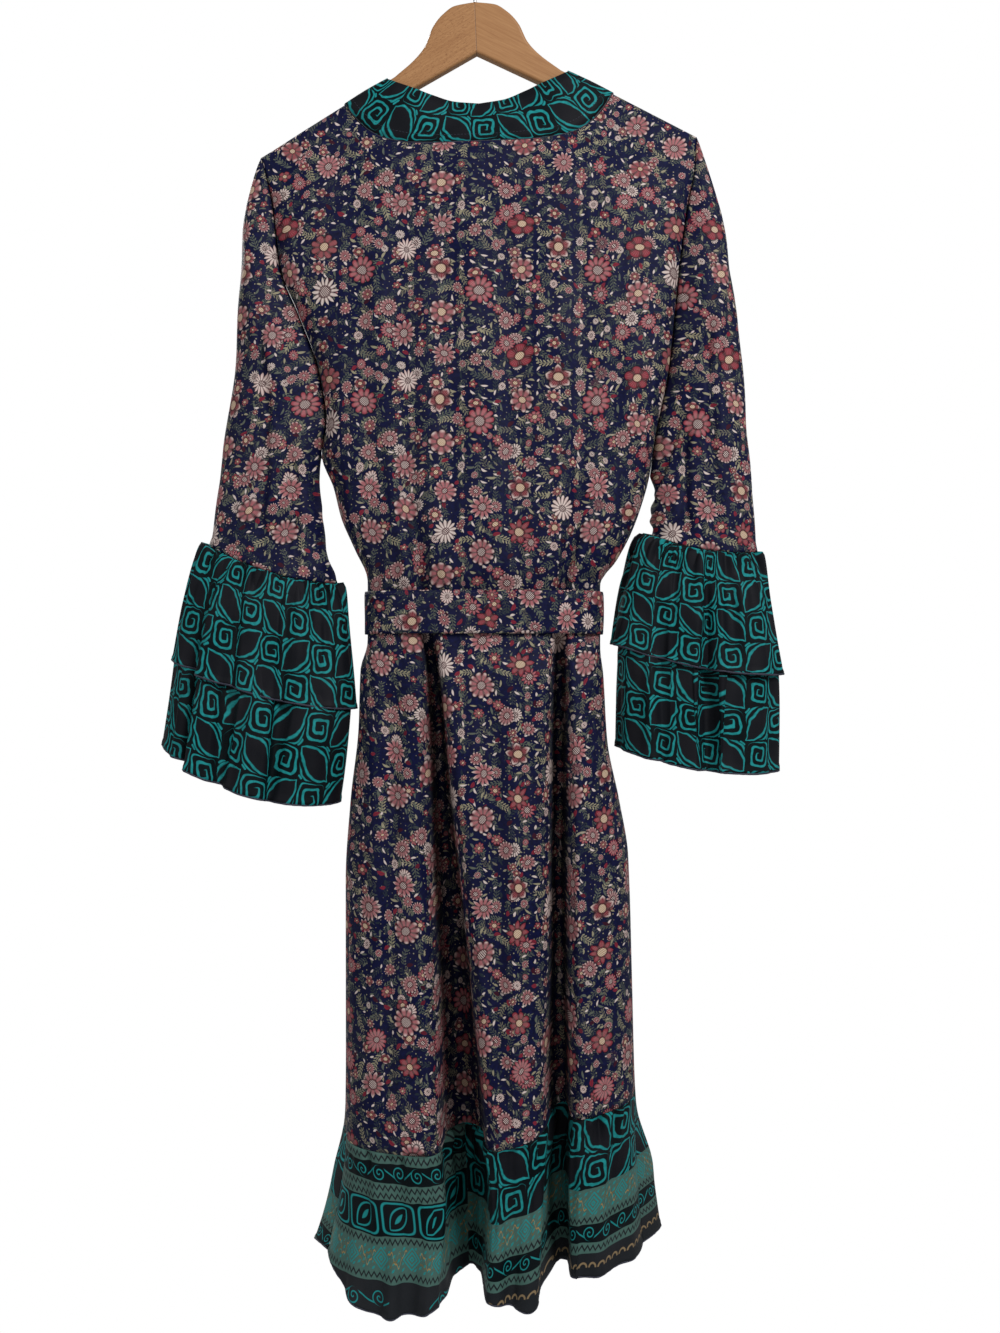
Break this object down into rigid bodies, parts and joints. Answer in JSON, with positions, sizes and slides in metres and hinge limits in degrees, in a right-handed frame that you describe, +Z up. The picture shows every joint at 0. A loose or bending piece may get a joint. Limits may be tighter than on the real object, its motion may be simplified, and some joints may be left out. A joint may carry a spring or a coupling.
{
  "type": "kimono robe on hanger",
  "caption": "Long belted kimono robe with tiered ruffled cuffs, a ruffled hem and a broad neck band, on an arched wooden hanger with a steel hook.",
  "frame": {"origin": "inside top of the hanger's hook, where the rod or nail that holds it bears", "axes": "+Z up, -Y towards the robe's front, +X towards the wearer's left"},
  "size_m": [0.617, 0.1924, 1.3458],
  "materials": {
    "floral": "thin satin weave, navy printed all over with dusty red and cream flowers",
    "teal_print": "thin satin weave, black printed with teal spirals and leaves, with bands of sage along the hem",
    "wood": "pale beech with a thin satin lacquer",
    "steel": "polished steel wire"
  },
  "bodies": {
    "root": {"hanger": "wood", "hook": "steel", "back": "floral", "neck_band": "teal_print", "hem_ruffle_back": "teal_print", "front_left": "floral", "hem_ruffle_left": "teal_print", "sleeve_left": "floral", "cuff_upper_left": "teal_print", "cuff_lower_left": "teal_print", "front_right": "floral", "hem_ruffle_right": "teal_print", "sleeve_right": "floral", "cuff_upper_right": "teal_print", "cuff_lower_right": "teal_print", "belt": "floral", "belt_knot": "floral", "belt_tail_left": "floral", "belt_tail_right": "floral"}
  },
  "joints": []
}
